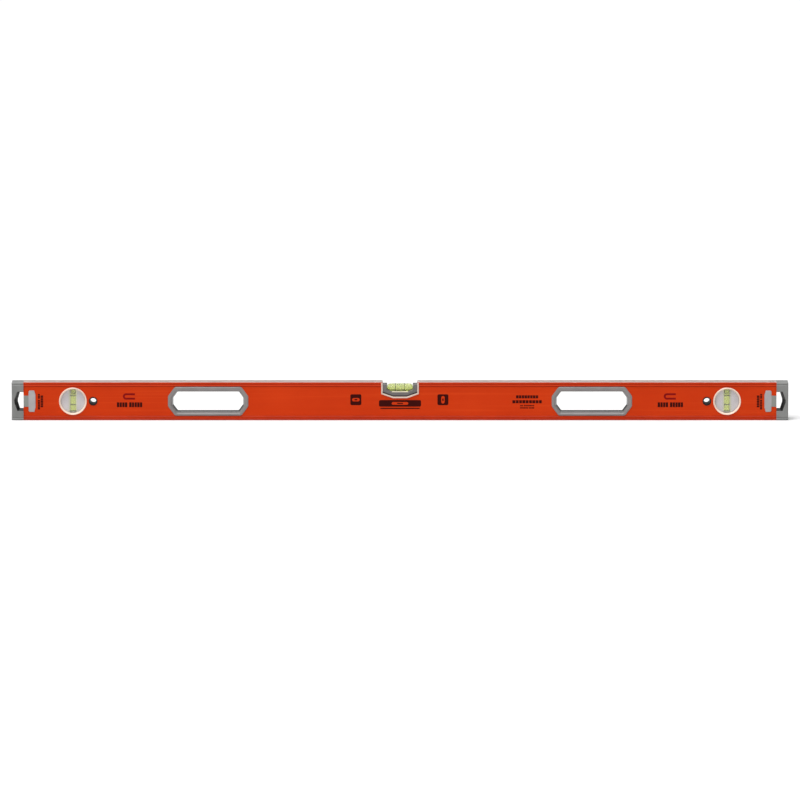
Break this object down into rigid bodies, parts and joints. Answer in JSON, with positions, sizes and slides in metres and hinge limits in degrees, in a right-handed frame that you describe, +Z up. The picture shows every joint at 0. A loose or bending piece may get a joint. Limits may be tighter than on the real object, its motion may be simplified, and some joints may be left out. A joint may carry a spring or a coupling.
{
  "type": "spirit level",
  "caption": "Long box-beam spirit level with a centre vial, a plumb vial near each end, hand holes with soft grips, moulded end caps and magnets in its bottom face.",
  "frame": {"origin": "centre of the bottom working face", "axes": "+X along the level, +Y from its front to its back, +Z up from the bottom working face to the top one"},
  "size_m": [1.2192, 0.0294, 0.06],
  "materials": {
    "frame_paint": "orange powder coat on an aluminium extrusion, bare milled working faces",
    "cap_plastic": "satin grey moulding",
    "cap_rubber": "matte light grey",
    "grip_rubber": "matte warm grey",
    "bushing_plastic": "matte black",
    "magnet_plating": "nickel plate",
    "housing_plastic": "satin dark grey",
    "bezel_plastic": "gloss cream white",
    "clear_acrylic": "polished acrylic",
    "vial_liquid": "yellow green spirit",
    "bubble_air": "air",
    "line_ink": "black print",
    "plug_plastic": "white sealing plug"
  },
  "bodies": {
    "level_body": {"box_frame": "frame_paint", "left_end_cap": "cap_plastic", "right_end_cap": "cap_plastic", "left_cap_grip": "cap_rubber", "right_cap_grip": "cap_rubber", "left_hand_grip_front": "grip_rubber", "left_hand_grip_back": "grip_rubber", "right_hand_grip_front": "grip_rubber", "right_hand_grip_back": "grip_rubber", "left_hang_bushing": "bushing_plastic", "right_hang_bushing": "bushing_plastic", "magnets": "magnet_plating", "centre_housing": "housing_plastic", "centre_bezel_front": "bezel_plastic", "centre_bezel_back": "bezel_plastic", "centre_vial": "clear_acrylic", "centre_liquid": "vial_liquid", "centre_lines": "line_ink", "centre_plugs": "plug_plastic", "left_plumb_vial": "clear_acrylic", "left_plumb_liquid": "vial_liquid", "left_plumb_lines": "line_ink", "left_plumb_plug": "plug_plastic", "left_plumb_bezel_front": "bezel_plastic", "left_plumb_bezel_back": "bezel_plastic", "right_plumb_vial": "clear_acrylic", "right_plumb_liquid": "vial_liquid", "right_plumb_lines": "line_ink", "right_plumb_plug": "plug_plastic", "right_plumb_bezel_front": "bezel_plastic", "right_plumb_bezel_back": "bezel_plastic"},
    "centre_bubble": {"centre_bubble": "bubble_air"},
    "left_plumb_bubble": {"left_plumb_bubble": "bubble_air"},
    "right_plumb_bubble": {"right_plumb_bubble": "bubble_air"}
  },
  "joints": [
    {"name": "centre_bubble_slide", "type": "slide", "parent": "level_body", "child": "centre_bubble", "axis": [1, 0, 0], "range_m": [-0.0095, 0.0095], "stiffness_N_per_m": 1, "deforming": ["centre_liquid"]},
    {"name": "left_plumb_bubble_slide", "type": "slide", "parent": "level_body", "child": "left_plumb_bubble", "axis": [0, 0, 1], "range_m": [-0.0255, 0], "stiffness_N_per_m": 1, "springref_m": 0.03, "deforming": ["left_plumb_liquid"]},
    {"name": "right_plumb_bubble_slide", "type": "slide", "parent": "level_body", "child": "right_plumb_bubble", "axis": [0, 0, 1], "range_m": [-0.0255, 0], "stiffness_N_per_m": 1, "springref_m": 0.03, "deforming": ["right_plumb_liquid"]}
  ]
}
